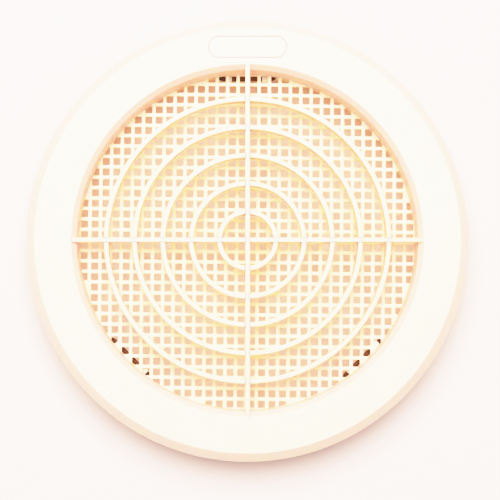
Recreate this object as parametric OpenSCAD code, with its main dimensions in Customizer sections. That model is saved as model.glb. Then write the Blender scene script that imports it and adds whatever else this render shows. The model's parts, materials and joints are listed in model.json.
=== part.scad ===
// Round ventilation grille for the end of a duct: a flange with concentric rings across its
// opening, an insect screen behind them, and a collar held in the duct by three wire spring clips.
// The origin lies on the duct's axis in the plane of the wall. +Z points out of the wall into
// the room, so the face is above z = 0 and the collar is below it. +Y is the top of the grille.

/* [Flange] */
// Outer diameter of the flange
flange_d = 150; // [148:1:156]
// Height of the flat face above the wall
face_h = 4; // [3.8:0.1:4.6]
// Thickness of the flat face
face_t = 1.8; // [1.4:0.1:2]
// Width of the outer bevel, seen from the front
bevel_w = 3.1; // [2.6:0.1:3.4]
// Height of the outer bevel
bevel_h = 2.9; // [2.4:0.1:3.1]
// Thickness of the outer rim that rests on the wall
rim_t = 1.6; // [1.2:0.1:1.8]

/* [Opening] */
// Diameter of the opening in the flat face
opening_d = 119; // [118.4:0.1:119.6]
// Diameter at the foot of the opening's chamfer
throat_d = 115.6; // [115.4:0.1:116]
// Clear diameter in front of the insect screen
clear_d = 115; // [114.4:0.1:115.2]
// Depth of the opening's chamfer
chamfer_h = 1.7; // [1.2:0.1:2]

/* [Rings and cross bars] */
// Distance from one ring to the next
ring_pitch = 9.54; // [9.3:0.01:9.57]
// Thickness of the rings and cross bars, seen from the front
rib_t = 1.4; // [1.2:0.1:1.8]
// Depth of the rings and cross bars
rib_depth = 5.5; // [3:0.1:7.5]

/* [Name plate] */
// Length of the blank outline on the face
plate_l = 27; // [20:0.1:32]
// Width of the blank outline
plate_w = 7.7; // [6:0.1:9]
// Distance of the outline's centre from the axis
plate_y = 65.4; // [65.2:0.1:66]
// Width of the outline's bead
plate_bead = 0.5; // [0.4:0.1:0.8]
// Height of the bead above the face
plate_rise = 0.25; // [0.15:0.05:0.4]

/* [Insect screen] */
// Distance from one screen bar to the next
mesh_pitch = 3.6; // [3.2:0.1:4]
// Width of the screen's bars
mesh_bar = 1.2; // [0.8:0.1:1.4]
// Thickness of the screen
mesh_t = 1.2; // [0.8:0.1:1.2]
// Clearance between the screen's edge and the collar
mesh_gap = 0.1; // [0.05:0.05:0.2]
// Turn of the screen's bars from the cross bars, as it happens to be snapped in
mesh_turn = -0.55; // [-2:0.05:2]

/* [Collar] */
// Reach of the flange's inner lip behind the wall plane, where the screen sits
lip_l = 4; // [3.5:0.1:4]
// Outer diameter of the centring bead next to the flange
bead_d = 124; // [123.6:0.1:124.6]
// Length of the centring bead behind the wall plane
bead_l = 3; // [2:0.1:3.4]
// Length of the bead's lead-in chamfer
bead_lead = 0.6; // [0.4:0.1:0.8]
// Outer diameter of the collar
collar_d = 121; // [121:0.1:121.4]
// Thickness of the collar
collar_t = 1.5; // [1.4:0.1:1.6]
// Reach of the collar behind the wall plane
collar_l = 17; // [17:0.1:22]
// Length of the lead-in chamfer on the collar's end
lead_in = 0.7; // [0.4:0.1:1]
// Width of the slots that the clips' legs pass through
slot_w = 2.2; // [2:0.1:2.6]

/* [Spring clips] */
// Diameter of the spring wire
wire_d = 1.5; // [1.2:0.1:1.5]
// Clearance of the wire in its hooks
hook_gap = 0.05; // [0.02:0.01:0.08]
// Width of each hook along the wire
hook_w = 2.2; // [1.6:0.1:2.6]
// Width of the hooks' mouths, a little under the wire
hook_mouth = 1.3; // [1:0.1:1.3]
// Distance of the clip's straight bar from the axis
bar_u = 56.4; // [56:0.1:57]
// Depth of the straight bar behind the wall plane
bar_depth = 6.6; // [6.6:0.1:7]
// Half the distance between a clip's two legs
leg_v = 9.5; // [9:0.1:11]
// Radius of the wire's bends
bend_r = 1.6; // [1.2:0.1:2]
// Distance of the knee from the axis
knee_u = 64.5; // [63.6:0.1:65]
// Depth of the knee behind the wall plane
knee_depth = 12.5; // [12:0.1:13]
// Distance of the leg's tip from the axis
tip_u = 61; // [60:0.1:61.6]
// Depth of the leg's tip behind the wall plane
tip_depth = 15.8; // [15.2:0.1:15.8]

/* [Hidden] */
$fn = 128;

ivory = [0.97, 0.95, 0.88];
screen_ivory = [0.95, 0.92, 0.84];
spring_steel = [0.45, 0.43, 0.41];

// Directions of the three clips, seen from the front
top_angle = 90;
left_angle = 225;
right_angle = 315;
clip_angles = [top_angle, left_angle, right_angle];

// Flange
flange_r = flange_d / 2;
face_r = flange_r - bevel_w;
opening_r = opening_d / 2;
throat_r = throat_d / 2;
clear_r = clear_d / 2;
bead_r = bead_d / 2;
underside = face_h - face_t;
rim_inner_r = flange_r - rim_t;
rim_slope = 1.6;

// Rings and bars
rib_back = face_h - rib_depth;

// Collar and screen
collar_r = collar_d / 2;
collar_inner_r = collar_r - collar_t;
mesh_r = collar_inner_r - mesh_gap;
screen_back = -lip_l - mesh_t;
leg_gap = 0.35;
slot_top = -bar_depth + wire_d / 2 + leg_gap;
catch_angles = [20, 55, 125, 160, 250, 290];
catch_span = 8;
catch_rise = 0.4;
catch_flat = 0.3;
catch_h = 0.8;

// Clips and their hooks
wire_r = wire_d / 2;
bore_r = wire_r + hook_gap;
hook_wall = 0.7;
hook_from_leg = 3.2;
hook_rise = 1.2;
hook_drop = 2.4;
hook_v = leg_v - hook_from_leg;
hook_top = -bar_depth + hook_rise;
hook_bottom = -bar_depth - hook_drop;
hook_inner_u = bar_u - bore_r - hook_wall;
leg_run = knee_u - bar_u;
leg_drop = knee_depth - bar_depth;
leg_l = norm([leg_run, leg_drop]);
leg_slope = atan2(leg_drop, leg_run);
tip_run = tip_u - knee_u;
tip_drop = tip_depth - knee_depth;
tip_l = norm([tip_run, tip_drop]);
knee_turn = atan2(tip_drop, tip_run) - leg_slope;
knee_tangent = bend_r * tan(knee_turn / 2);
// The wire thins slightly where it is bent, and each straight run reaches into its bends
bend_thinning = 0.01;
bend_lap = 0.1;

// Extra length that carries a cut past the face it goes through
over = 1;

// The space inside the flange's opening, in front of the screen's seat
module opening_space() {
    rotate_extrude()
        polygon([
            [0, face_h], [opening_r, face_h], [throat_r, face_h - chamfer_h],
            [clear_r, -lip_l], [0, -lip_l]
        ]);
}

// One cross bar's full-length section, along X
module bar_blank() {
    translate([-opening_r, -rib_t / 2, rib_back]) cube([opening_d, rib_t, rib_depth]);
}

// Flat face with its outer bevel, resting rim, inner chamfer, lip and centring bead
module bezel() {
    color(ivory)
        rotate_extrude()
            polygon([
                [clear_r, -lip_l], [throat_r, face_h - chamfer_h], [opening_r, face_h],
                [face_r, face_h], [flange_r, face_h - bevel_h], [flange_r, 0],
                [rim_inner_r, 0], [rim_inner_r, underside - rim_slope],
                [rim_inner_r - rim_slope, underside], [collar_r, underside],
                [collar_r, 0], [bead_r, 0], [bead_r, bead_lead - bead_l],
                [bead_r - bead_lead, -bead_l], [collar_r, -bead_l], [collar_r, -lip_l]
            ]);
}

// A stadium outline of the given length and width, as a flat shape
module stadium(length, width) {
    square([length - width, width], center = true);
    for (side = [-1, 1])
        translate([side * (length - width) / 2, 0]) circle(d = width);
}

// Blank raised outline at the top of the face
module plate_outline() {
    color(ivory)
        translate([0, plate_y, face_h])
            linear_extrude(plate_rise)
                difference() {
                    stadium(plate_l, plate_w);
                    stadium(plate_l - 2 * plate_bead, plate_w - 2 * plate_bead);
                }
}

// Cross bar from top to bottom, in one piece
module vertical_bar() {
    color(ivory)
        intersection() {
            rotate(90) bar_blank();
            opening_space();
        }
}

// Cross bar from side to side, in two halves that meet the vertical bar
module horizontal_bar() {
    color(ivory)
        difference() {
            intersection() {
                bar_blank();
                opening_space();
            }
            rotate(90) bar_blank();
        }
}

// One concentric ring, as four arcs that meet the cross bars
module ring(number) {
    color(ivory)
        difference() {
            translate([0, 0, rib_back])
                linear_extrude(rib_depth)
                    difference() {
                        circle(number * ring_pitch + rib_t / 2);
                        circle(number * ring_pitch - rib_t / 2);
                    }
            bar_blank();
            rotate(90) bar_blank();
        }
}

// The screen's square holes, as flat shapes out to the radius where it becomes a solid edge
module screen_holes() {
    hole = mesh_pitch - mesh_bar;
    count = ceil(clear_r / mesh_pitch);
    function nearest(i) = (abs(i + 0.5) - 0.5) * mesh_pitch;
    for (column = [-count:count - 1])
        for (row = [-count:count - 1])
            if (norm([nearest(column), nearest(row)]) < clear_r - mesh_bar)
                translate([(column + 0.5) * mesh_pitch, (row + 0.5) * mesh_pitch])
                    square(hole, center = true);
}

// Insect screen: a moulded disc of square holes, seated behind the flange's lip
module insect_screen() {
    color(screen_ivory)
        translate([0, 0, screen_back])
            linear_extrude(mesh_t)
                difference() {
                    circle(mesh_r);
                    intersection() {
                        circle(clear_r);
                        rotate(mesh_turn) screen_holes();
                    }
                }
}

// Snap beads inside the collar that hold the screen against the lip
module screen_catches() {
    color(ivory)
        for (angle = catch_angles)
            rotate(angle - catch_span / 2)
                rotate_extrude(angle = catch_span)
                    translate([collar_inner_r, screen_back])
                        polygon([
                            [0, 0], [-catch_rise, 0],
                            [-catch_rise, -catch_flat], [0, -catch_h]
                        ]);
}

// The collar's slots for one clip's legs, open at the collar's end
module leg_slots(angle) {
    rotate(angle - 90)
        for (side = [-1, 1])
            translate([side * leg_v - slot_w / 2, collar_inner_r / 2, -collar_l - over])
                cube([slot_w, collar_r, collar_l + over + slot_top]);
}

// Collar that stands in the duct
module duct_collar() {
    color(ivory)
        difference() {
            rotate_extrude()
                polygon([
                    [collar_inner_r, -lip_l], [collar_inner_r, -collar_l],
                    [collar_r - lead_in, -collar_l], [collar_r, -collar_l + lead_in],
                    [collar_r, -lip_l]
                ]);
            for (angle = clip_angles) leg_slots(angle);
        }
}

// Two hooks on the inside of the collar that hold a clip's straight bar
module spring_seat(angle) {
    color(ivory)
        rotate(angle - 90)
            for (side = [-1, 1])
                intersection() {
                    difference() {
                        translate([side * hook_v - hook_w / 2, hook_inner_u, hook_bottom])
                            cube([hook_w, collar_r - hook_inner_u, hook_top - hook_bottom]);
                        translate([side * hook_v, bar_u, -bar_depth])
                            rotate([0, 90, 0])
                                cylinder(r = bore_r, h = hook_w + over, center = true);
                        translate([
                            side * hook_v - (hook_w + over) / 2,
                            bar_u - hook_mouth / 2,
                            hook_bottom - over
                        ])
                            cube([hook_w + over, hook_mouth, -bar_depth - hook_bottom + over]);
                    }
                    translate([0, 0, -collar_l]) cylinder(r = collar_inner_r, h = collar_l);
                }
}

// A straight length of wire along +Y, reaching a little way into the bend before it and,
// unless it ends in a tip, into the bend after it
module wire_run(length, far_lap = bend_lap) {
    translate([0, -bend_lap, 0])
        rotate([-90, 0, 0]) cylinder(r = wire_r, h = bend_lap + length + far_lap);
}

// A bend of the wire about the Z axis, through the given angle
module wire_bend(angle) {
    rotate_extrude(angle = angle) translate([bend_r, 0]) circle(wire_r - bend_thinning);
}

// One leg from the end of the straight bar, out to the knee and back in to its rounded tip,
// drawn with the outward run along +Y
module clip_leg() {
    translate([leg_v - bend_r, bend_r, 0]) rotate(-90) wire_bend(90);
    translate([leg_v, bend_r, 0]) wire_run(leg_l - knee_tangent - bend_r);
    translate([leg_v, leg_l - knee_tangent, -bend_r])
        rotate([90, 0, 90])
            rotate(90 - knee_turn)
                wire_bend(knee_turn);
    translate([leg_v, leg_l, 0])
        rotate([-knee_turn, 0, 0])
            translate([0, knee_tangent, 0]) {
                wire_run(tip_l - knee_tangent, far_lap = 0);
                translate([0, tip_l - knee_tangent, 0]) sphere(wire_r);
            }
}

// One wire spring clip: a straight bar with a leg at each end
module spring_clip(angle) {
    bar_l = 2 * (leg_v - bend_r + bend_lap);
    color(spring_steel)
        rotate(angle - 90)
            translate([0, bar_u, -bar_depth])
                rotate([-leg_slope, 0, 0]) {
                    rotate([0, 90, 0]) cylinder(r = wire_r, h = bar_l, center = true);
                    clip_leg();
                    mirror([1, 0, 0]) clip_leg();
                }
}

bezel();
plate_outline();
vertical_bar();
horizontal_bar();
ring(1);  // ring_1
ring(2);  // ring_2
ring(3);  // ring_3
ring(4);  // ring_4
ring(5);  // ring_5
insect_screen();
screen_catches();
duct_collar();
spring_seat(top_angle);  // spring_seat_top
spring_seat(left_angle);  // spring_seat_left
spring_seat(right_angle);  // spring_seat_right
spring_clip(top_angle);  // spring_clip_top
spring_clip(left_angle);  // spring_clip_left
spring_clip(right_angle);  // spring_clip_right
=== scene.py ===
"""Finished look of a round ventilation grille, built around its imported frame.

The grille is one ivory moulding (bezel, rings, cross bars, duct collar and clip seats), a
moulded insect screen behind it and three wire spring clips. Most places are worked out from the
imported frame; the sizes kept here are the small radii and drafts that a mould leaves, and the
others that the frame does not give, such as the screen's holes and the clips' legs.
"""
import json
import logging
import math
from dataclasses import dataclass, field
from enum import Enum
from typing import Iterable, NamedTuple, Sequence

import bmesh
import bpy
from mathutils import Matrix, Vector
from mathutils.geometry import delaunay_2d_cdt


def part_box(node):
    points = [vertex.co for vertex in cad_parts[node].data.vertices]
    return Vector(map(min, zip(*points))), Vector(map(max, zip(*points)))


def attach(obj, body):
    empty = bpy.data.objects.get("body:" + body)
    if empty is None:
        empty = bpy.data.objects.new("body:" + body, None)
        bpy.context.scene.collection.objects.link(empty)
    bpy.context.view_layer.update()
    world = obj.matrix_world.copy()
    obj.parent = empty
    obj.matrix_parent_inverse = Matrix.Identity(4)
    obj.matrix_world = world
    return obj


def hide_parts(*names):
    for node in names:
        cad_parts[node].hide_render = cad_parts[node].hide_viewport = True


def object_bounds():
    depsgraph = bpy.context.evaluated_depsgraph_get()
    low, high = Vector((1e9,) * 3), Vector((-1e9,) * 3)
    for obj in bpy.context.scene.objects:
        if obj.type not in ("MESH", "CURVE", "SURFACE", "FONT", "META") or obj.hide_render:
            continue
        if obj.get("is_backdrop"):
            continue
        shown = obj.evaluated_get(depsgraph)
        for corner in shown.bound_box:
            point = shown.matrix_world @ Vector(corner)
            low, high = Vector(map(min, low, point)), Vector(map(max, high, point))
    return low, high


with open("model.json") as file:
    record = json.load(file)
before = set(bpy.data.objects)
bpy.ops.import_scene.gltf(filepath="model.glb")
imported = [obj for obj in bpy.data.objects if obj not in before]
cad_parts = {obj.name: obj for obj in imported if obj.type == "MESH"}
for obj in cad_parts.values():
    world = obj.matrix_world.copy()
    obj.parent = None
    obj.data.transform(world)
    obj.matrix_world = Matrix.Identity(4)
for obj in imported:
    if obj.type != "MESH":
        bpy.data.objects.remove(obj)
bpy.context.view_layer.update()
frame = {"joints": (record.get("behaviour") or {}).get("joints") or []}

MM = 0.001
WIRE_RADIUS = 0.75 * MM
COLLAR_WALL = 1.5 * MM
SOFT_ANGLE = math.radians(40.0)
CORNER_SHARE = 0.49  # the most of a side that one rounded corner may take up
FULL_WEIGHT = 100  # of the broad faces, in a Weighted Normal modifier
INSIDE_ONLY = 1  # what delaunay_2d_cdt keeps: triangles inside the outer loop
MERGE_DISTANCE = 1e-7
NODE_SPACING = 190
MIX_COLOURS = (6, 7)  # the two colour inputs of a Mix node
LOG = logging.getLogger("grille")

Colour = tuple[float, float, float]


class Slot(Enum):
    """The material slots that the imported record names."""

    IVORY = "ivory_plastic"
    SCREEN = "screen_plastic"
    WIRE = "spring_wire"


class Side(Enum):
    """The three places around the collar that hold a spring clip."""

    TOP = "top"
    LEFT = "left"
    RIGHT = "right"


# ---------------------------------------------------------------------------------------------
# Outlines and meshes
# ---------------------------------------------------------------------------------------------


class Corner(NamedTuple):
    """One corner of an outline and the radius that rounds it."""

    x: float
    y: float
    radius: float = 0.0


class OutlinePoint(NamedTuple):
    """One point of a finished outline; edge is 1 in the middle of a rounded outer corner."""

    x: float
    y: float
    edge: float


def rounded_outline(corners: Sequence[Corner], steps: int = 4) -> list[OutlinePoint]:
    """Round the corners of a closed outline with arcs.

    Args:
        corners: the outline's corners, anticlockwise.
        steps: how many straight pieces each rounded corner has.

    Returns:
        The outline's points in order; each rounded corner gives steps + 1 of them.
    """
    points: list[OutlinePoint] = []
    count = len(corners)
    for index, corner in enumerate(corners):
        here = Vector((corner.x, corner.y))
        before = Vector(corners[index - 1][:2]) - here
        after = Vector(corners[(index + 1) % count][:2]) - here
        if corner.radius <= 0.0:
            points.append(OutlinePoint(corner.x, corner.y, 0.0))
            continue
        a, b = before.normalized(), after.normalized()
        half = math.acos(max(-1.0, min(1.0, a.dot(b)))) / 2.0
        room = CORNER_SHARE * min(before.length, after.length)
        reach = min(corner.radius / math.tan(half), room)
        radius = reach * math.tan(half)
        centre = here + (a + b).normalized() * (radius / math.sin(half))
        start, end = here + a * reach - centre, here + b * reach - centre
        outer = 1.0 if a.x * b.y - a.y * b.x < 0.0 else 0.0
        turn = start.angle_signed(end)
        for step in range(steps + 1):
            share = step / steps
            arm = Matrix.Rotation(-turn * share, 2) @ start
            wear = outer * math.sin(math.pi * share)
            points.append(OutlinePoint(centre.x + arm.x, centre.y + arm.y, wear))
    return points


class MeshDraft:
    """Vertices, faces and edge-wear values of one piece while it is being drawn."""

    def __init__(self, name: str) -> None:
        """Start an empty piece.

        Args:
            name: the piece's name.
        """
        self.name = name
        self.vertices: list[Vector] = []
        self.faces: list[list[int]] = []
        self.wear: list[float] = []

    def add_loop(self, points: Iterable[Vector], wear: Iterable[float]) -> list[int]:
        """Add a row of vertices.

        Args:
            points: their places, in metres.
            wear: an edge-wear value for each.

        Returns:
            The new vertices' numbers.
        """
        first = len(self.vertices)
        self.vertices.extend(points)
        self.wear.extend(wear)
        return list(range(first, len(self.vertices)))

    def skin(self, loops: Sequence[Sequence[int]], closed: bool = False) -> None:
        """Join closed loops of equal length, one to the next, with a band of quads.

        Args:
            loops: the loops in order.
            closed: whether the last loop joins back to the first.
        """
        pairs = list(zip(loops, loops[1:]))
        if closed:
            pairs.append((loops[-1], loops[0]))
        for one, two in pairs:
            size = len(one)
            for k in range(size):
                n = (k + 1) % size
                self.faces.append([one[k], one[n], two[n], two[k]])

    def cap(self, loop: Sequence[int]) -> None:
        """Close a loop with one flat face."""
        self.faces.append(list(loop))

    def build(self, outward: bool = True) -> bpy.types.Object:
        """Make the Blender object, smooth shaded, with its edge-wear values as the attribute "edge".

        Args:
            outward: whether to turn every face outwards, for closed shells.

        Returns:
            The object.
        """
        mesh = bpy.data.meshes.new(self.name)
        mesh.from_pydata(self.vertices, [], self.faces)
        attribute = mesh.attributes.new("edge", "FLOAT", "POINT")
        attribute.data.foreach_set("value", self.wear)
        if outward:
            work = bmesh.new()
            work.from_mesh(mesh)
            bmesh.ops.recalc_face_normals(work, faces=work.faces)
            work.to_mesh(mesh)
            work.free()
        mesh.shade_smooth()
        piece = bpy.data.objects.new(self.name, mesh)
        bpy.context.scene.collection.objects.link(piece)
        return piece


def even_normals(piece: bpy.types.Object) -> None:
    """Let broad faces set the shading of the small radii next to them.

    Args:
        piece: the object.
    """
    modifier = piece.modifiers.new("even_normals", "WEIGHTED_NORMAL")
    modifier.mode = "FACE_AREA"
    modifier.weight = FULL_WEIGHT
    modifier.keep_sharp = True


def soften_edges(piece: bpy.types.Object, width: float, segments: int = 3) -> None:
    """Round every edge that turns by more than the soft angle.

    Args:
        piece: the object.
        width: the rounding's width, in metres.
        segments: how many faces the rounding has.
    """
    modifier = piece.modifiers.new("soft_edges", "BEVEL")
    modifier.width = width
    modifier.segments = segments
    modifier.limit_method = "ANGLE"
    modifier.angle_limit = SOFT_ANGLE
    modifier.miter_outer = "MITER_ARC"


def lathe(name: str, corners: Sequence[Corner], segments: int, steps: int = 4) -> bpy.types.Object:
    """Turn a closed outline of radius and height about the duct's axis.

    Args:
        name: the piece's name.
        corners: the outline as (radius, height), in metres.
        segments: how many steps go round.
        steps: how many pieces each rounded corner has.

    Returns:
        The turned piece.
    """
    outline = rounded_outline(corners, steps)
    draft = MeshDraft(name)
    loops = []
    for k in range(segments):
        c, s = math.cos(2 * math.pi * k / segments), math.sin(2 * math.pi * k / segments)
        points = [Vector((p.x * c, p.x * s, p.y)) for p in outline]
        loops.append(draft.add_loop(points, (p.edge for p in outline)))
    draft.skin(loops, closed=True)
    piece = draft.build()
    even_normals(piece)
    return piece


# ---------------------------------------------------------------------------------------------
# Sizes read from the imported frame
# ---------------------------------------------------------------------------------------------


@dataclass(frozen=True)
class Seat:
    """Where one clip sits: its pivot on the joint's axis, and its direction round the collar."""

    side: Side
    joint: str
    body: str
    radius: float
    height: float
    angle: float

    def place(self) -> Matrix:
        """The frame at the pivot: X along the clip's bar, Y away from the axis, Z up."""
        turn = Matrix.Rotation(self.angle - math.pi / 2, 4, "Z")
        return turn @ Matrix.Translation((0.0, self.radius, self.height))


def read_seats() -> list[Seat]:
    """Find the three clips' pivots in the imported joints.

    Returns:
        One seat for each side.
    """
    seats = []
    for side in Side:
        joint = next(j for j in frame["joints"] if j["child"] == f"clip_{side.value}")
        x, y, z = joint["pos_m"]
        seats.append(Seat(side, joint["name"], joint["child"], math.hypot(x, y), z, math.atan2(y, x)))
    return seats


def dress(piece: bpy.types.Object, body: str, finish: bpy.types.Material,
          nodes: Sequence[str]) -> bpy.types.Object:
    """Give a piece its finish and tie it to the frame.

    Args:
        piece: the object.
        body: the body it moves with.
        finish: its material.
        nodes: the nodes it stands for.

    Returns:
        The same object.
    """
    piece.data.materials.clear()
    piece.data.materials.append(finish)
    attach(piece, body)
    if nodes:
        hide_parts(*nodes)
    return piece


# ---------------------------------------------------------------------------------------------
# Surface effects shared by the finishes
# ---------------------------------------------------------------------------------------------


class Wiring:
    """Adds and links nodes in one node tree, setting them out from left to right."""

    def __init__(self, tree: bpy.types.NodeTree) -> None:
        """Start on a tree, emptying it.

        Args:
            tree: a material's or a group's node tree.
        """
        self.tree = tree
        self.tree.nodes.clear()
        self.column = 0

    def add(self, kind: str, **values: object) -> bpy.types.Node:
        """Add a node.

        Args:
            kind: the node's type.
            **values: properties of the node, or default values of its inputs, where an
                input's name is written in small letters with low lines for spaces.

        Returns:
            The node.
        """
        node = self.tree.nodes.new(kind)
        node.location = (self.column * NODE_SPACING, 0)
        self.column += 1
        sockets: dict[str, bpy.types.NodeSocket] = {}
        for socket in node.inputs:
            sockets.setdefault(socket.name.lower().replace(" ", "_"), socket)
        for key, value in values.items():
            if key in sockets:
                sockets[key].default_value = value
            else:
                setattr(node, key, value)
        return node

    def link(self, source: bpy.types.NodeSocket, target: bpy.types.NodeSocket) -> None:
        """Join an output to an input."""
        self.tree.links.new(source, target)

    def maths(self, operation: str, first: bpy.types.NodeSocket,
              second: bpy.types.NodeSocket | float, clamp: bool = False) -> bpy.types.NodeSocket:
        """Add a Math node.

        Args:
            operation: what it does, such as MULTIPLY.
            first: its first input.
            second: its second input, a socket or a number.
            clamp: whether the result stays from 0 to 1.

        Returns:
            The node's output.
        """
        node = self.add("ShaderNodeMath", operation=operation, use_clamp=clamp)
        self.link(first, node.inputs[0])
        if isinstance(second, (int, float)):
            node.inputs[1].default_value = second
        else:
            self.link(second, node.inputs[1])
        return node.outputs[0]

    def ramp(self, value: bpy.types.NodeSocket, low: float, high: float,
             to_low: float = 0.0, to_high: float = 1.0) -> bpy.types.NodeSocket:
        """Spread a value between two limits onto a new range, held at its ends.

        Args:
            value: the value.
            low: where the range starts.
            high: where it ends.
            to_low: what low becomes.
            to_high: what high becomes.

        Returns:
            The new value.
        """
        node = self.add("ShaderNodeMapRange", from_min=low, from_max=high, to_min=to_low, to_max=to_high)
        self.link(value, node.inputs["Value"])
        return node.outputs["Result"]

    def blend(self, share: bpy.types.NodeSocket, first: bpy.types.NodeSocket | Colour,
              second: bpy.types.NodeSocket | Colour) -> bpy.types.NodeSocket:
        """Mix two colours.

        Args:
            share: how much of the second.
            first: the first colour, or the output that gives it.
            second: the second.

        Returns:
            The mixed colour.
        """
        node = self.add("ShaderNodeMix", data_type="RGBA")
        self.link(share, node.inputs[0])
        for value, socket in zip((first, second), (node.inputs[k] for k in MIX_COLOURS)):
            if isinstance(value, bpy.types.NodeSocket):
                self.link(value, socket)
            else:
                socket.default_value = (*value, 1.0)
        return node.outputs[2]


@dataclass
class SurfaceEffects:
    """The node groups that more than one finish uses, each built once."""

    skin: bpy.types.NodeTree = field(init=False)
    # painted shade: sides is the mask of walls that slope away from the face, which take a deeper colour in
    # place of the shade they get
    sides: bpy.types.NodeTree = field(init=False)
    wear: bpy.types.NodeTree = field(init=False)
    dust: bpy.types.NodeTree = field(init=False)
    grain_per_metre: float = 4200.0
    peel_per_metre: float = 420.0
    peel_strength: float = 1.6
    mottles_per_metre: float = 38.0
    mottle_range: tuple[float, float] = (0.3, 0.7)
    wear_per_metre: float = 260.0
    wear_range: tuple[float, float] = (0.35, 0.6)
    specks_per_metre: float = 1500.0
    speck_range: tuple[float, float] = (0.66, 0.74)
    drifts_per_metre: float = 90.0
    drift_range: tuple[float, float] = (0.45, 0.8)
    drift_cover: float = 0.35
    facing_up: tuple[float, float] = (0.2, 0.95)
    dust_below: float = 0.25

    def __post_init__(self) -> None:
        """Build every group."""
        self.skin = self._mould_skin()
        self.sides = self._sloping_sides()
        self.wear = self._edge_wear()
        self.dust = self._settled_dust()

    @staticmethod
    def _group(name: str, inputs: Sequence[tuple[str, str, float | None]],
               outputs: Sequence[str]) -> bpy.types.NodeTree:
        """Start a group with named sockets.

        Args:
            name: the group's name.
            inputs: name, kind (Vector or Float) and default of each input.
            outputs: the names of its outputs, all plain values.

        Returns:
            The new group.
        """
        tree = bpy.data.node_groups.new(name, "ShaderNodeTree")
        for label, kind, value in inputs:
            socket = tree.interface.new_socket(name=label, in_out="INPUT", socket_type=f"NodeSocket{kind}")
            if value is not None:
                socket.default_value = value
        for label in outputs:
            tree.interface.new_socket(name=label, in_out="OUTPUT", socket_type="NodeSocketFloat")
        return tree

    def _mould_skin(self) -> bpy.types.NodeTree:
        """Make the skin that a steel mould leaves: fine grain, a faint orange peel and slow mottling.

        Returns:
            The group, with the outputs Height and Mottle.
        """
        tree = self._group("mould_skin", [("Vector", "Vector", None), ("Grain", "Float", 1.0)],
                           ["Height", "Mottle"])
        wires = Wiring(tree)
        inlet = wires.add("NodeGroupInput")
        fine = wires.add("ShaderNodeTexNoise", scale=self.grain_per_metre, detail=3.0, roughness=0.6)
        peel = wires.add("ShaderNodeTexNoise", scale=self.peel_per_metre, detail=1.0, roughness=0.4)
        slow = wires.add("ShaderNodeTexNoise", scale=self.mottles_per_metre, detail=3.0, roughness=0.55,
                         distortion=0.6)
        for noise in (fine, peel, slow):
            wires.link(inlet.outputs["Vector"], noise.inputs["Vector"])
        grain = wires.maths("MULTIPLY", fine.outputs[0], inlet.outputs["Grain"])
        swell = wires.maths("MULTIPLY", peel.outputs[0], self.peel_strength)
        height = wires.maths("ADD", grain, swell)
        mottle = wires.ramp(slow.outputs[0], *self.mottle_range)
        outlet = wires.add("NodeGroupOutput")
        wires.link(height, outlet.inputs["Height"])
        wires.link(mottle, outlet.inputs["Mottle"])
        return tree

    def _sloping_sides(self) -> bpy.types.NodeTree:
        """Find where a wall slopes away from the face, for the painted shade that deepens its colour there.

        Returns:
            The group, with the output Mask.
        """
        tree = self._group("sloping_sides", [("Flat", "Float", 0.97), ("Steep", "Float", 0.75)], ["Mask"])
        wires = Wiring(tree)
        inlet = wires.add("NodeGroupInput")
        split = wires.add("ShaderNodeSeparateXYZ")
        wires.link(wires.add("ShaderNodeTexCoord").outputs["Normal"], split.inputs[0])
        facing = wires.maths("ABSOLUTE", split.outputs["Z"], 0.0)
        node = wires.add("ShaderNodeMapRange", to_min=0.0, to_max=1.0)
        wires.link(facing, node.inputs["Value"])
        wires.link(inlet.outputs["Flat"], node.inputs["From Min"])
        wires.link(inlet.outputs["Steep"], node.inputs["From Max"])
        outlet = wires.add("NodeGroupOutput")
        wires.link(node.outputs["Result"], outlet.inputs["Mask"])
        return tree

    def _edge_wear(self) -> bpy.types.NodeTree:
        """Make a broken mask along rounded edges, where handling has polished them.

        Returns:
            The group, with the output Mask.
        """
        tree = self._group("edge_wear", [("Vector", "Vector", None), ("Edge", "Float", 0.0),
                                         ("Amount", "Float", 0.5)], ["Mask"])
        wires = Wiring(tree)
        inlet = wires.add("NodeGroupInput")
        broken = wires.add("ShaderNodeTexNoise", scale=self.wear_per_metre, detail=4.0, roughness=0.7)
        wires.link(inlet.outputs["Vector"], broken.inputs["Vector"])
        patches = wires.ramp(broken.outputs[0], *self.wear_range)
        rubbed = wires.maths("MULTIPLY", patches, inlet.outputs["Edge"])
        mask = wires.maths("MULTIPLY", rubbed, inlet.outputs["Amount"], clamp=True)
        outlet = wires.add("NodeGroupOutput")
        wires.link(mask, outlet.inputs["Mask"])
        return tree

    def _settled_dust(self) -> bpy.types.NodeTree:
        """Make specks of dust, thickest on surfaces that face up.

        Returns:
            The group, with the output Mask.
        """
        tree = self._group("settled_dust", [("Vector", "Vector", None), ("Amount", "Float", 0.3)], ["Mask"])
        wires = Wiring(tree)
        inlet = wires.add("NodeGroupInput")
        geometry = wires.add("ShaderNodeNewGeometry")
        split = wires.add("ShaderNodeSeparateXYZ")
        wires.link(geometry.outputs["Normal"], split.inputs[0])
        upward = wires.ramp(split.outputs["Z"], *self.facing_up, self.dust_below, 1.0)
        specks = wires.add("ShaderNodeTexNoise", scale=self.specks_per_metre, detail=2.0, roughness=0.5)
        drifts = wires.add("ShaderNodeTexNoise", scale=self.drifts_per_metre, detail=3.0, roughness=0.6)
        for noise in (specks, drifts):
            wires.link(inlet.outputs["Vector"], noise.inputs["Vector"])
        dots = wires.ramp(specks.outputs[0], *self.speck_range)
        film = wires.ramp(drifts.outputs[0], *self.drift_range, 0.0, self.drift_cover)
        both = wires.maths("MAXIMUM", dots, film)
        facing = wires.maths("MULTIPLY", both, upward)
        mask = wires.maths("MULTIPLY", facing, inlet.outputs["Amount"], clamp=True)
        outlet = wires.add("NodeGroupOutput")
        wires.link(mask, outlet.inputs["Mask"])
        return tree


# ---------------------------------------------------------------------------------------------
# Finishes
# ---------------------------------------------------------------------------------------------


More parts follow.
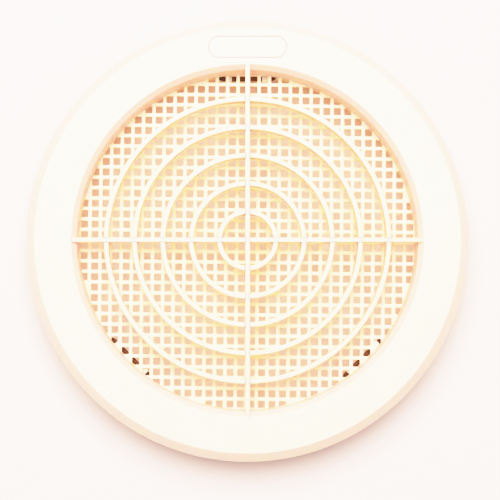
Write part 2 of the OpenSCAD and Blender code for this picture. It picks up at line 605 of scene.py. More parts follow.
@dataclass(frozen=True)
class MouldedPlastic:
    """Ivory plastic as it leaves the mould: warm, satin and slightly translucent."""

    name: str
    # base: the ivory of the ribs, collar and screen, brighter and more orange than the flange's, painted
    # light for the warm bounce inside the opening
    base: Colour = (0.995, 0.875, 0.66)
    deep: Colour = (0.99, 0.855, 0.63)
    # painted shade: side is the deeper colour given to walls that slope away from the face, standing in for
    # the shade they get
    side: Colour = (0.995, 0.80, 0.58)
    rubbed: Colour = (0.995, 0.90, 0.75)
    dust: Colour = (0.86, 0.78, 0.68)
    roughness: tuple[float, float] = (0.38, 0.50)
    grain: float = 1.0
    bump: float = 0.12
    grain_depth: float = 0.03 * MM
    translucency: float = 1.0
    glow_depth: float = 3.0 * MM
    glow_spread: Colour = (1.0, 0.5, 0.22)
    refraction: float = 1.5
    wear_amount: float = 0.5
    wear_polish: float = 0.12
    dust_amount: float = 0.18
    dust_haze: float = 0.4

    def build(self, effects: SurfaceEffects) -> bpy.types.Material:
        """Make the material.

        Args:
            effects: the shared surface effects.

        Returns:
            The material.
        """
        material = bpy.data.materials.new(self.name)
        material.use_nodes = True
        wires = Wiring(material.node_tree)
        place = wires.add("ShaderNodeTexCoord").outputs["Object"]
        edge = wires.add("ShaderNodeAttribute", attribute_name="edge").outputs["Fac"]
        skin = wires.add("ShaderNodeGroup", node_tree=effects.skin)
        skin.inputs["Grain"].default_value = self.grain
        wear = wires.add("ShaderNodeGroup", node_tree=effects.wear)
        wear.inputs["Amount"].default_value = self.wear_amount
        dust = wires.add("ShaderNodeGroup", node_tree=effects.dust)
        dust.inputs["Amount"].default_value = self.dust_amount
        for group in (skin, wear, dust):
            wires.link(place, group.inputs["Vector"])
        wires.link(edge, wear.inputs["Edge"])
        sides = wires.add("ShaderNodeGroup", node_tree=effects.sides)
        colour = wires.blend(skin.outputs["Mottle"], self.base, self.deep)
        # painted shade: walls that slope away from the face take the deeper side colour
        colour = wires.blend(sides.outputs["Mask"], colour, self.side)
        colour = wires.blend(wear.outputs["Mask"], colour, self.rubbed)
        colour = wires.blend(dust.outputs["Mask"], colour, self.dust)
        smooth, matt = self.roughness
        rough = wires.ramp(skin.outputs["Mottle"], 0.0, 1.0, smooth, matt)
        polish = wires.maths("MULTIPLY", wear.outputs["Mask"], self.wear_polish)
        rough = wires.maths("SUBTRACT", rough, polish)
        haze = wires.maths("MULTIPLY", dust.outputs["Mask"], self.dust_haze)
        rough = wires.maths("ADD", rough, haze, clamp=True)
        bump = wires.add("ShaderNodeBump", strength=self.bump, distance=self.grain_depth)
        wires.link(skin.outputs["Height"], bump.inputs["Height"])
        shader = wires.add("ShaderNodeBsdfPrincipled")
        shader.inputs["IOR"].default_value = self.refraction
        shader.inputs["Subsurface Weight"].default_value = self.translucency
        shader.inputs["Subsurface Radius"].default_value = self.glow_spread
        shader.inputs["Subsurface Scale"].default_value = self.glow_depth
        wires.link(colour, shader.inputs["Base Color"])
        wires.link(rough, shader.inputs["Roughness"])
        wires.link(bump.outputs[0], shader.inputs["Normal"])
        outlet = wires.add("ShaderNodeOutputMaterial")
        wires.link(shader.outputs[0], outlet.inputs["Surface"])
        return material


@dataclass(frozen=True)
class DrawnSteel:
    """Hard-drawn spring wire: dark, lightly oiled, with lines along it and brown patches."""

    name: str
    # painted reflection: the orange-brown tint of these colours stands in for the warm plastic that the wire
    # reflects; the drawing lines and oxide patches are the wire's own
    bright: Colour = (0.19, 0.095, 0.045)
    dark: Colour = (0.05, 0.022, 0.01)
    oxide: Colour = (0.14, 0.05, 0.014)
    roughness: tuple[float, float] = (0.5, 0.68)
    metal: tuple[float, float] = (0.8, 0.3)
    line_stretch: tuple[float, float, float] = (60.0, 9.0, 1.0)
    line_range: tuple[float, float] = (0.3, 0.7)
    line_strength: float = 0.25
    line_depth: float = 0.02 * MM
    stains_per_metre: float = 520.0
    stain_range: tuple[float, float] = (0.55, 0.75)
    stain_cover: float = 0.8
    stain_roughness: float = 0.3

    def build(self, effects: SurfaceEffects) -> bpy.types.Material:
        """Make the material.

        Args:
            effects: the shared surface effects.

        Returns:
            The material.
        """
        material = bpy.data.materials.new(self.name)
        material.use_nodes = True
        wires = Wiring(material.node_tree)
        place = wires.add("ShaderNodeTexCoord").outputs["Object"]
        around = wires.add("ShaderNodeUVMap", uv_map="wire").outputs["UV"]
        stretch = wires.add("ShaderNodeMapping", scale=self.line_stretch)
        wires.link(around, stretch.inputs["Vector"])
        lines = wires.add("ShaderNodeTexNoise", scale=1.0, detail=4.0, roughness=0.65)
        wires.link(stretch.outputs[0], lines.inputs["Vector"])
        stains = wires.add("ShaderNodeTexNoise", scale=self.stains_per_metre, detail=4.0, roughness=0.6)
        wires.link(place, stains.inputs["Vector"])
        edge = wires.add("ShaderNodeAttribute", attribute_name="edge").outputs["Fac"]
        wear = wires.add("ShaderNodeGroup", node_tree=effects.wear)
        wires.link(place, wear.inputs["Vector"])
        wires.link(edge, wear.inputs["Edge"])
        streak = wires.ramp(lines.outputs[0], *self.line_range)
        patch = wires.ramp(stains.outputs[0], *self.stain_range, 0.0, self.stain_cover)
        colour = wires.blend(streak, self.dark, self.bright)
        colour = wires.blend(patch, colour, self.oxide)
        colour = wires.blend(wear.outputs["Mask"], colour, self.bright)
        smooth, matt = self.roughness
        rough = wires.ramp(streak, 0.0, 1.0, matt, smooth)
        rust = wires.maths("MULTIPLY", patch, self.stain_roughness)
        rough = wires.maths("ADD", rough, rust, clamp=True)
        bump = wires.add("ShaderNodeBump", strength=self.line_strength, distance=self.line_depth)
        wires.link(streak, bump.inputs["Height"])
        shader = wires.add("ShaderNodeBsdfPrincipled")
        metal = wires.ramp(patch, 0.0, self.stain_cover, *self.metal)
        wires.link(metal, shader.inputs["Metallic"])
        wires.link(colour, shader.inputs["Base Color"])
        wires.link(rough, shader.inputs["Roughness"])
        wires.link(bump.outputs[0], shader.inputs["Normal"])
        outlet = wires.add("ShaderNodeOutputMaterial")
        wires.link(shader.outputs[0], outlet.inputs["Surface"])
        return material


@dataclass(frozen=True)
class TableTop:
    """The plain pale table that the grille lies on, clear when seen from underneath."""

    name: str = "pale_table"
    light: Colour = (0.785, 0.80, 0.805)
    shade: Colour = (0.77, 0.785, 0.79)
    roughness: float = 0.85
    shine: float = 0.2
    clouds_per_metre: float = 14.0

    def build(self) -> bpy.types.Material:
        """Make the material.

        Returns:
            The material.
        """
        material = bpy.data.materials.new(self.name)
        material.use_nodes = True
        wires = Wiring(material.node_tree)
        place = wires.add("ShaderNodeTexCoord").outputs["Object"]
        noise = wires.add("ShaderNodeTexNoise", scale=self.clouds_per_metre, detail=3.0)
        wires.link(place, noise.inputs["Vector"])
        colour = wires.blend(noise.outputs[0], self.light, self.shade)
        shader = wires.add("ShaderNodeBsdfPrincipled", roughness=self.roughness)
        shader.inputs["Specular IOR Level"].default_value = self.shine
        wires.link(colour, shader.inputs["Base Color"])
        under = wires.add("ShaderNodeNewGeometry").outputs["Backfacing"]
        clear = wires.add("ShaderNodeBsdfTransparent")
        either = wires.add("ShaderNodeMixShader")
        wires.link(under, either.inputs[0])
        wires.link(shader.outputs[0], either.inputs[1])
        wires.link(clear.outputs[0], either.inputs[2])
        outlet = wires.add("ShaderNodeOutputMaterial")
        wires.link(either.outputs[0], outlet.inputs["Surface"])
        return material


# ---------------------------------------------------------------------------------------------
# The grille moulding
# ---------------------------------------------------------------------------------------------


@dataclass
class Bezel:
    """The flange around the opening: face, bevel, resting rim, inner chamfer, lip and bead."""

    finish: bpy.types.Material
    bevel_width: float = 3.1 * MM
    bevel_height: float = 2.9 * MM
    rim: float = 1.6 * MM
    plate: float = 1.8 * MM
    opening: float = 59.5 * MM
    throat: float = 57.8 * MM
    clear: float = 57.5 * MM
    chamfer: float = 1.7 * MM
    bead_length: float = 3.0 * MM
    bead_lead: float = 0.6 * MM
    bead_rise: float = 1.5 * MM
    rim_slope: float = 1.6 * MM
    seam_edge: float = 0.05 * MM
    foot_edge: float = 0.12 * MM
    lip_edge: float = 0.2 * MM
    bead_edge: float = 0.25 * MM
    bead_root: float = 0.3 * MM
    mouth_edge: float = 0.35 * MM
    throat_edge: float = 0.4 * MM
    collar_root: float = 0.5 * MM
    bevel_edge: float = 0.6 * MM
    segments: int = 360

    def build(self) -> bpy.types.Object:
        """Turn the flange's section and dress it.

        Returns:
            The flange.
        """
        low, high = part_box("bezel")
        outer, face, lip = high.x, high.z, low.z
        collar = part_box("duct_collar")[1].x
        under = face - self.plate
        inner_rim = outer - self.rim
        bead = collar + self.bead_rise
        corners = [
            Corner(self.clear, lip, self.lip_edge),
            Corner(collar, lip, self.seam_edge),
            Corner(collar, -self.bead_length, self.lip_edge),
            Corner(bead - self.bead_lead, -self.bead_length, self.bead_edge),
            Corner(bead, self.bead_lead - self.bead_length, self.bead_edge),
            Corner(bead, 0.0, self.foot_edge),
            Corner(collar, 0.0, self.bead_root),
            Corner(collar, under, self.collar_root),
            Corner(inner_rim - self.rim_slope, under, self.bevel_edge),
            Corner(inner_rim, under - self.rim_slope, self.bevel_edge),
            Corner(inner_rim, 0.0, self.lip_edge),
            Corner(outer, 0.0, self.bead_edge),
            Corner(outer, face - self.bevel_height, self.collar_root),
            Corner(outer - self.bevel_width, face, self.bevel_edge),
            Corner(self.opening, face, self.mouth_edge),
            Corner(self.throat, face - self.chamfer, self.throat_edge),
        ]
        piece = lathe("bezel_moulding", corners, self.segments)
        return dress(piece, "grille", self.finish, ["bezel"])


@dataclass
class Rib:
    """A rib of the grille drawn as rounded sections along a path."""

    half: float
    top: float
    back: float
    draft: float = 0.12 * MM
    top_radius: float = 0.22 * MM
    back_radius: float = 0.15 * MM
    steps: int = 3

    def section(self, half: float) -> list[OutlinePoint]:
        """Draw the rib's section.

        Args:
            half: the half width at the face.

        Returns:
            The section's points, as (sideways, height).
        """
        foot = half - self.draft
        corners = [
            Corner(-foot, self.back, self.back_radius), Corner(foot, self.back, self.back_radius),
            Corner(half, self.top, self.top_radius), Corner(-half, self.top, self.top_radius),
        ]
        return rounded_outline(corners, self.steps)

    def draw(self, draft: MeshDraft, stations: Sequence[tuple[Vector, Vector, float]],
             closed: bool = False) -> None:
        """Add the rib to a piece.

        Args:
            draft: the piece.
            stations: a point, the direction sideways and the half width at each.
            closed: whether the rib runs back into its start.
        """
        loops = []
        for point, sideways, half in stations:
            section = self.section(half)
            row = [point + sideways * p.x + Vector((0.0, 0.0, p.y)) for p in section]
            loops.append(draft.add_loop(row, (p.edge for p in section)))
        draft.skin(loops, closed)
        if not closed:
            draft.cap(loops[0][::-1])
            draft.cap(loops[-1])


def flare(distance: float, radius: float) -> float:
    """How much wider a rib is, this far from the rib that it runs into.

    Args:
        distance: how far away the other rib's side is.
        radius: the radius of the blend between the two.

    Returns:
        The extra half width.
    """
    rest = max(0.0, radius - max(0.0, distance))
    return radius - math.sqrt(radius * radius - rest * rest)


@dataclass
class GrilleRibs:
    """The five rings and the two cross bars, level with the face and blended where they meet."""

    finish: bpy.types.Material
    blend: float = 0.4 * MM
    spread: float = 0.1 * MM
    tuck: float = 0.15 * MM
    ring_count: int = 5
    blend_steps: int = 6
    arc_steps_per_mm: float = 0.9
    fewest_steps: int = 8
    near_axis: float = 10.0
    hair: float = 0.008 * MM

    def _rib(self, lower: int) -> Rib:
        """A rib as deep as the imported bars, with its top lowered by a number of hairs."""
        low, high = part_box("vertical_bar")
        return Rib((high.x - low.x) / 2 + self.spread, high.z - lower * self.hair, low.z)

    def _bar(self, name: str, ends: Sequence[tuple[float, float]], along: Vector,
             sideways: Vector, lower: int) -> MeshDraft:
        """Draw one cross bar as straight runs.

        Args:
            name: the piece's name.
            ends: where each run starts and ends; a start next to the axis is blended there.
            along: the bar's direction.
            sideways: the direction across it.
            lower: how many hairs its top is lowered.

        Returns:
            The drawn bar.
        """
        draft = MeshDraft(name)
        rib = self._rib(lower)
        for start, end in ends:
            places = [start, end]
            if abs(start) < self.near_axis * rib.half:
                side = math.copysign(1.0, end)
                near = [rib.half + self.blend * k / self.blend_steps for k in range(self.blend_steps + 1)]
                places = [start] + [side * n for n in near] + [end]
            stations = []
            for place in places:
                wide = flare(abs(place) - rib.half, self.blend) if len(places) > 2 else 0.0
                stations.append((along * place, sideways, rib.half + wide))
            rib.draw(draft, stations)
        return draft

    def build(self) -> list[bpy.types.Object]:
        """Draw and dress the bars and the rings.

        Returns:
            The two bars, then the rings from the inside out.
        """
        x, y = Vector((1.0, 0.0, 0.0)), Vector((0.0, 1.0, 0.0))
        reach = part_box("vertical_bar")[1].y + self.tuck
        half = self._rib(0).half
        upright = self._bar("cross_bar_upright", [(-reach, reach)], y, -x, 1)
        runs = [(-half + self.tuck, -reach), (half - self.tuck, reach)]
        level = self._bar("cross_bar_level", runs, x, y, 2)
        pieces = []
        for draft, node in ((upright, "vertical_bar"), (level, "horizontal_bar")):
            piece = draft.build()
            even_normals(piece)
            pieces.append(dress(piece, "grille", self.finish, [node]))
        pieces.extend(self._ring(number) for number in range(1, self.ring_count + 1))
        return pieces

    def _ring(self, number: int) -> bpy.types.Object:
        """Draw and dress one ring, as four arcs that swell where they meet the bars.

        Args:
            number: the ring's number, from the inside out.

        Returns:
            The ring.
        """
        node = f"ring_{number}"
        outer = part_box(node)[1].x
        rib = self._rib(3)
        radius = outer + self.spread - rib.half
        draft = MeshDraft(f"grille_ring_{number}")
        first = math.asin((rib.half - self.tuck) / radius)
        blended = [math.asin((rib.half + self.blend * k / self.blend_steps) / radius)
                   for k in range(self.blend_steps + 1)]
        middle_steps = max(self.fewest_steps, round(radius / MM * self.arc_steps_per_mm))
        last = blended[-1]
        span = math.pi / 2 - 2 * last
        middle = [last + span * k / middle_steps for k in range(1, middle_steps)]
        angles = [first, *blended, *middle]
        angles += [math.pi / 2 - a for a in reversed([first, *blended])]
        for quarter in range(4):
            stations = []
            for angle in angles:
                near = min(math.sin(angle), math.cos(angle)) * radius - rib.half
                turned = angle + quarter * math.pi / 2
                out = Vector((math.cos(turned), math.sin(turned), 0.0))
                stations.append((out * radius, out, rib.half + flare(near, self.blend)))
            rib.draw(draft, stations)
        piece = draft.build()
        even_normals(piece)
        return dress(piece, "grille", self.finish, [node])


@dataclass
class PlateOutline:
    """The blank raised outline on the face."""

    finish: bpy.types.Material
    bead: float = 0.5 * MM
    sunk: float = 0.08 * MM
    slope: float = 0.1 * MM
    top_edge: float = 0.16 * MM
    foot_edge: float = 0.02 * MM
    end_steps: int = 20

    def build(self) -> bpy.types.Object:
        """Sweep the bead round a stadium and dress it.

        Returns:
            The outline.
        """
        low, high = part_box("plate_outline")
        centre_y = (low.y + high.y) / 2
        radius = (high.y - low.y - self.bead) / 2
        straight = (high.x - low.x) / 2 - self.bead / 2 - radius
        rib = Rib(self.bead / 2, high.z, low.z - self.sunk, draft=-self.slope, top_radius=self.top_edge,
                  back_radius=self.foot_edge)
        stations = []
        for side in (1.0, -1.0):
            for k in range(self.end_steps + 1):
                angle = (k / self.end_steps - 0.5) * math.pi
                out = Vector((math.cos(angle) * side, math.sin(angle) * side, 0.0))
                centre = Vector((side * straight, centre_y, 0.0))
                stations.append((centre + out * radius, out, rib.half - self.slope))
        draft = MeshDraft("blank_outline")
        rib.draw(draft, stations, closed=True)
        piece = draft.build()
        even_normals(piece)
        return dress(piece, "grille", self.finish, ["plate_outline"])


class WallColumn(NamedTuple):
    """One column of the collar's wall: its two angles, and whether a slot follows it."""

    outside: float
    inside: float
    open_after: bool


@dataclass
class DuctCollar:
    """The collar that stands in the duct, with open slots for the clips' legs."""

    finish: bpy.types.Material
    seats: Sequence[Seat]
    lead: float = 0.7 * MM
    slot_width: float = 2.2 * MM
    slot_top: float = -5.5 * MM
    top_edge: float = 0.1 * MM
    foot_edge: float = 0.3 * MM
    lead_edge: float = 0.5 * MM
    slot_edge: float = 0.15 * MM
    step: float = math.radians(1.25)

    def _outline(self) -> list[OutlinePoint]:
        """Draw the wall's section, starting and ending at the level of the slots' tops.

        Returns:
            The section's points, as (radius, height).
        """
        low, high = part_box("duct_collar")
        outer, inner = high.x, high.x - COLLAR_WALL
        rounded = rounded_outline([
            Corner(outer, high.z, self.top_edge), Corner(inner, high.z, self.top_edge),
            Corner(inner, low.z, self.foot_edge), Corner(outer - self.lead, low.z, self.foot_edge),
            Corner(outer, low.z + self.lead, self.lead_edge),
        ], steps=3)
        upper = [p for p in rounded if p.y > self.slot_top]
        lower = [p for p in rounded if p.y <= self.slot_top]
        upper_out = [p for p in upper if p.x > (inner + outer) / 2]
        upper_in = [p for p in upper if p.x <= (inner + outer) / 2]
        return [OutlinePoint(outer, self.slot_top, 0.0), *upper_out, *upper_in,
                OutlinePoint(inner, self.slot_top, 0.0), *lower]

    def _columns(self, outer: float, inner: float) -> list[WallColumn]:
        """Place the wall's columns, one on each side of every slot and enough between the slots.

        Args:
            outer: the wall's outer radius.
            inner: its inner radius.

        Returns:
            The columns, in order round the wall.
        """
        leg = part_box("spring_clip_top")[1].x - WIRE_RADIUS
        edges = []
        for seat in self.seats:
            for side in (-1.0, 1.0):
                for cut in (-0.5, 0.5):
                    across = side * leg + cut * self.slot_width
                    edges.append(WallColumn(seat.angle - math.asin(across / outer),
                                            seat.angle - math.asin(across / inner), cut > 0))
        edges.sort(key=lambda edge: edge.outside % (2 * math.pi))
        columns = []
        for k, edge in enumerate(edges):
            following = edges[(k + 1) % len(edges)]
            span_out = (following.outside - edge.outside) % (2 * math.pi)
            span_in = (following.inside - edge.inside) % (2 * math.pi)
            pieces = 1 if edge.open_after else max(1, round(span_out / self.step))
            for n in range(pieces):
                share = n / pieces
                columns.append(WallColumn(edge.outside + span_out * share, edge.inside + span_in * share,
                                          edge.open_after))
        return columns

    def build(self) -> bpy.types.Object:
        """Build the slotted wall column by column and dress it.

        Returns:
            The collar.
        """
        outline = self._outline()
        inner = min(p.x for p in outline)
        outer = max(p.x for p in outline)
        columns = self._columns(outer, inner)
        draft = MeshDraft("duct_collar_wall")
        loops = []
        for column in columns:
            row = []
            for p in outline:
                share = (p.x - inner) / (outer - inner)
                angle = column.inside + (column.outside - column.inside) * share
                row.append(Vector((p.x * math.cos(angle), p.x * math.sin(angle), p.y)))
            loops.append(draft.add_loop(row, (p.edge for p in outline)))
        count = len(outline)
        slot_level = next(k for k, p in enumerate(outline) if k and p.y == self.slot_top)
        for k, loop in enumerate(loops):
            following = loops[(k + 1) % len(loops)]
            for j in range(slot_level if columns[k].open_after else count):
                n = (j + 1) % count
                draft.faces.append([loop[j], loop[n], following[n], following[j]])
            if columns[k].open_after:
                draft.faces.append([loop[slot_level], loop[0], following[0], following[slot_level]])
                wall = [*range(slot_level, count), 0]
                draft.faces.append([loop[j] for j in wall])
                draft.faces.append([following[j] for j in reversed(wall)])
        piece = draft.build()
        soften_edges(piece, self.slot_edge, segments=2)
        even_normals(piece)
        return dress(piece, "grille", self.finish, ["duct_collar"])


@dataclass
class ScreenCatches:
    """The snap beads inside the collar that hold the screen."""

    finish: bpy.types.Material
    angles: tuple[float, ...] = (20.0, 55.0, 125.0, 160.0, 250.0, 290.0)
    span: float = 8.0
    rise: float = 0.4 * MM
    flat: float = 0.3 * MM
    root: float = 0.2 * MM
    upper_edge: float = 0.1 * MM
    lower_edge: float = 0.15 * MM
    end_edge: float = 0.08 * MM
    steps: int = 10

    def build(self) -> bpy.types.Object:
        """Draw every bead as one piece and dress it.

        Returns:
            The beads.
        """
        low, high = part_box("screen_catches")
        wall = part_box("duct_collar")[1].x - COLLAR_WALL
        outline = rounded_outline([
            Corner(wall + self.root, high.z), Corner(wall - self.rise, high.z, self.upper_edge),
            Corner(wall - self.rise, high.z - self.flat, self.lower_edge), Corner(wall + self.root, low.z),
        ], steps=3)
        draft = MeshDraft("screen_snap_beads")
        for middle in self.angles:
            loops = []
            for k in range(self.steps + 1):
                angle = math.radians(middle - self.span / 2 + self.span * k / self.steps)
                c, s = math.cos(angle), math.sin(angle)
                row = [Vector((p.x * c, p.x * s, p.y)) for p in outline]
                loops.append(draft.add_loop(row, (p.edge for p in outline)))
            draft.skin(loops)
            draft.cap(loops[0][::-1])
            draft.cap(loops[-1])
        piece = draft.build()
        soften_edges(piece, self.end_edge, segments=2)
        even_normals(piece)
        return dress(piece, "grille", self.finish, ["screen_catches"])


@dataclass
class ClipSeat:
    """The pair of open hooks on the collar's inside that hold one clip's bar."""

    finish: bpy.types.Material
    seat: Seat
    bore: float = 0.8 * MM
    mouth: float = 0.65 * MM
    wall: float = 0.7 * MM
    rise: float = 1.2 * MM
    drop: float = 2.4 * MM
    width: float = 2.2 * MM
    from_leg: float = 3.2 * MM
    root: float = 1.2 * MM
    lead: float = 0.3 * MM
    nose: float = 0.4 * MM
    edge: float = 0.12 * MM
    bore_steps: int = 18

    def _outline(self, back: float) -> list[tuple[float, float]]:
        """Draw the hook's side view.

        Args:
            back: how far the hook reaches into the wall.

        Returns:
            The corners, as (away from the axis, height) from the bar's centre.
        """
        open_angle = math.asin(self.mouth / self.bore)
        start, end = -math.pi / 2 - open_angle, -math.pi / 2 + open_angle - 2 * math.pi
        arc = [start + (end - start) * k / self.bore_steps for k in range(self.bore_steps + 1)]
        bore = [(self.bore * math.cos(a), self.bore * math.sin(a)) for a in arc]
        front = -self.bore - self.wall
        return [
            (front, -self.drop), (-self.mouth - self.lead, -self.drop), (-self.mouth, self.lead - self.drop),
            *bore, (self.mouth, self.lead - self.drop), (self.mouth + self.lead, -self.drop),
            (back, -self.drop), (back, self.rise), (front + self.nose, self.rise),
            (front, self.rise - self.nose),
        ]

    def build(self) -> bpy.types.Object:
        """Extrude both hooks, soften them and dress them.

        Returns:
            The pair of hooks.
        """
        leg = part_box("spring_clip_top")[1].x - WIRE_RADIUS
        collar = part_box("duct_collar")[1].x
        draft = MeshDraft(f"clip_seat_{self.seat.side.value}")
        place = self.seat.place()
        for side in (-1.0, 1.0):
            centre = side * (leg - self.from_leg)
            back = math.sqrt((collar - self.root) ** 2 - centre**2) - self.seat.radius
            outline = self._outline(back)
            rows = []
            for x in (centre - self.width / 2, centre + self.width / 2):
                points = [place @ Vector((x, u, z)) for u, z in outline]
                rows.append(draft.add_loop(points, [0.0] * len(points)))
            draft.skin(rows)
            draft.cap(rows[0][::-1])
            draft.cap(rows[1])
        piece = draft.build()
        soften_edges(piece, self.edge, segments=2)
        even_normals(piece)
        node = f"spring_seat_{self.seat.side.value}"
        return dress(piece, "grille", self.finish, [node])


# ---------------------------------------------------------------------------------------------
# Insect screen and spring clips
# ---------------------------------------------------------------------------------------------


@dataclass
class InsectScreen:
    """The moulded disc of small square holes behind the grille's opening."""

    finish: bpy.types.Material
    pitch: float = 3.6
    bar: float = 1.2
    clear: float = 57.5
    turn: float = math.radians(-0.55)
    edge_radius: float = 0.16
    corner_radius: float = 0.18
    smallest_hole: float = 0.5
    shortest_side: float = 0.12
    rim_steps: int = 240
    hole_steps: int = 2
    round_steps: int = 2

    def _clipped(self, corners: Sequence[Vector]) -> list[Vector]:
        """Cut a square hole back to the screen's solid rim.

        Args:
            corners: the square's corners, anticlockwise, in millimetres.

        Returns:
            The corners of what is left of it; empty where nothing is.
        """
        kept: list[Vector] = []
        for here, after in zip(corners, [*corners[1:], corners[0]]):
            run = after - here
            if here.length < self.clear:
                kept.append(here)
            a, b, c = run.length_squared, 2 * here.dot(run), here.length_squared - self.clear**2
            root = b * b - 4 * a * c
            if root > 0.0:
                for sign in (-1.0, 1.0):
                    share = (-b + sign * math.sqrt(root)) / (2 * a)
                    if 0.0 < share < 1.0:
                        kept.append(here + run * share)
        return kept

    def _grown(self, corners: Sequence[Vector], growth: float) -> list[Corner]:
        """The corners of a hole whose sides are all moved outwards.

        Args:
            corners: the hole's corners, anticlockwise.
            growth: how far the sides move.

        Returns:
            The new corners, each with its radius.
        """
        grown = []
        for k, here in enumerate(corners):
            before = (here - corners[k - 1]).normalized()
            after = (corners[(k + 1) % len(corners)] - here).normalized()
            one, two = Vector((before.y, -before.x)), Vector((after.y, -after.x))
            middle = one + two
            moved = here + middle * (2 * growth / middle.length_squared)
            grown.append(Corner(moved.x, moved.y, self.corner_radius + growth))
        return grown

    def _holes(self) -> list[list[Vector]]:
        """Set out the holes, leaving out those too small to mould.

        Returns:
            Every hole's corners, in millimetres.
        """
        half = (self.pitch - self.bar) / 2
        count = math.ceil(self.clear / self.pitch)
        turned = Matrix.Rotation(self.turn, 2)
        signs = ((-1, -1), (1, -1), (1, 1), (-1, 1))
        holes = []
        for column in range(-count, count):
            for row in range(-count, count):
                x, y = (column + 0.5) * self.pitch, (row + 0.5) * self.pitch
                square = [turned @ Vector((x + a * half, y + b * half)) for a, b in signs]
                hole = self._clipped(square)
                sides = [(b - a).length for a, b in zip(hole, [*hole[1:], *hole[:1]])]
                if len(hole) < 3 or min(sides) <= self.shortest_side:
                    continue
                if self._breadth(hole) > self.smallest_hole:
                    holes.append(hole)
        return holes

    @staticmethod
    def _breadth(hole: Sequence[Vector]) -> float:
        """Work out twice a hole's area over its outline's length: about the width of what passes it.

        Args:
            hole: the hole's corners, in millimetres.

        Returns:
            The width, in millimetres.
        """
        area = length = 0.0
        for a, b in zip(hole, [*hole[1:], *hole[:1]]):
            area += (a.x * b.y - b.x * a.y) / 2
            length += (b - a).length
        return 2 * area / length

    def _levels(self, back: float, top: float) -> list[tuple[float, float, float]]:
        """Step round the rounded edges, from the upper side to the lower one.

        Args:
            back: the level of the lower side, in millimetres.
            top: the level of the upper side.

        Returns:
            How far an opening is widened, the level and the edge wear at each step.
        """
        quarter = [math.pi / 2 * k / self.round_steps for k in range(self.round_steps + 1)]
        upper = [(self.edge_radius * (1 - math.sin(a)), top - self.edge_radius * (1 - math.cos(a)),
                  math.sin(2 * a)) for a in quarter]
        return upper + [(growth, back + (top - z), wear) for growth, z, wear in reversed(upper)]

    def build(self) -> bpy.types.Object:
        """Draw the screen with rounded bars and dress it.

        Returns:
            The screen.
        """
        low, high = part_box("insect_screen")
        levels = self._levels(low.z / MM, high.z / MM)
        draft = MeshDraft("insect_screen_disc")

        def ring(points: Sequence[tuple[float, float]], z: float, wear: float) -> list[int]:
            """Add one level of an outline."""
            row = [Vector((x, y, z)) * MM for x, y in points]
            return draft.add_loop(row, [wear] * len(row))

        angles = [2 * math.pi * k / self.rim_steps for k in range(self.rim_steps)]
        rim = []
        for growth, z, wear in levels:
            radius = high.x / MM - growth
            rim.append(ring([(radius * math.cos(a), radius * math.sin(a)) for a in angles], z, wear))
        outlines = [rim]
        for hole in self._holes():
            rows = []
            for growth, z, wear in levels:
                outline = rounded_outline(self._grown(hole, growth), self.hole_steps)
                rows.append(ring([(p.x, p.y) for p in outline], z, wear))
            outlines.append(rows)
        for rows in outlines:
            draft.skin(rows)
        for side in (0, -1):
            self._fill(draft, [rows[side] for rows in outlines])
        piece = draft.build()
        even_normals(piece)
        return dress(piece, "grille", self.finish, ["insect_screen"])

    @staticmethod
    def _fill(draft: MeshDraft, loops: Sequence[Sequence[int]]) -> None:
        """Close the flat side between the rim's loop and the holes' loops with triangles.

        Args:
            draft: the piece.
            loops: the rim's loop first, then every hole's.
        """
        numbers = [n for loop in loops for n in loop]
        position = {n: k for k, n in enumerate(numbers)}
        owner: dict[int, int] = {}
        edges: list[tuple[int, int]] = []
        for which, loop in enumerate(loops):
            for k, n in enumerate(loop):
                owner[position[n]] = which
                edges.append((position[n], position[loop[(k + 1) % len(loop)]]))
        points = [Vector(draft.vertices[n][:2]) / MM for n in numbers]
        _, _, faces, origins, _, _ = delaunay_2d_cdt(points, edges, [], INSIDE_ONLY, MERGE_DISTANCE)
        for face in faces:
            source = [origins[v][0] for v in face]
            owners = {owner[v] for v in source}
            if len(owners) == 1 and owners != {0}:
                continue
            draft.faces.append([numbers[v] for v in source])


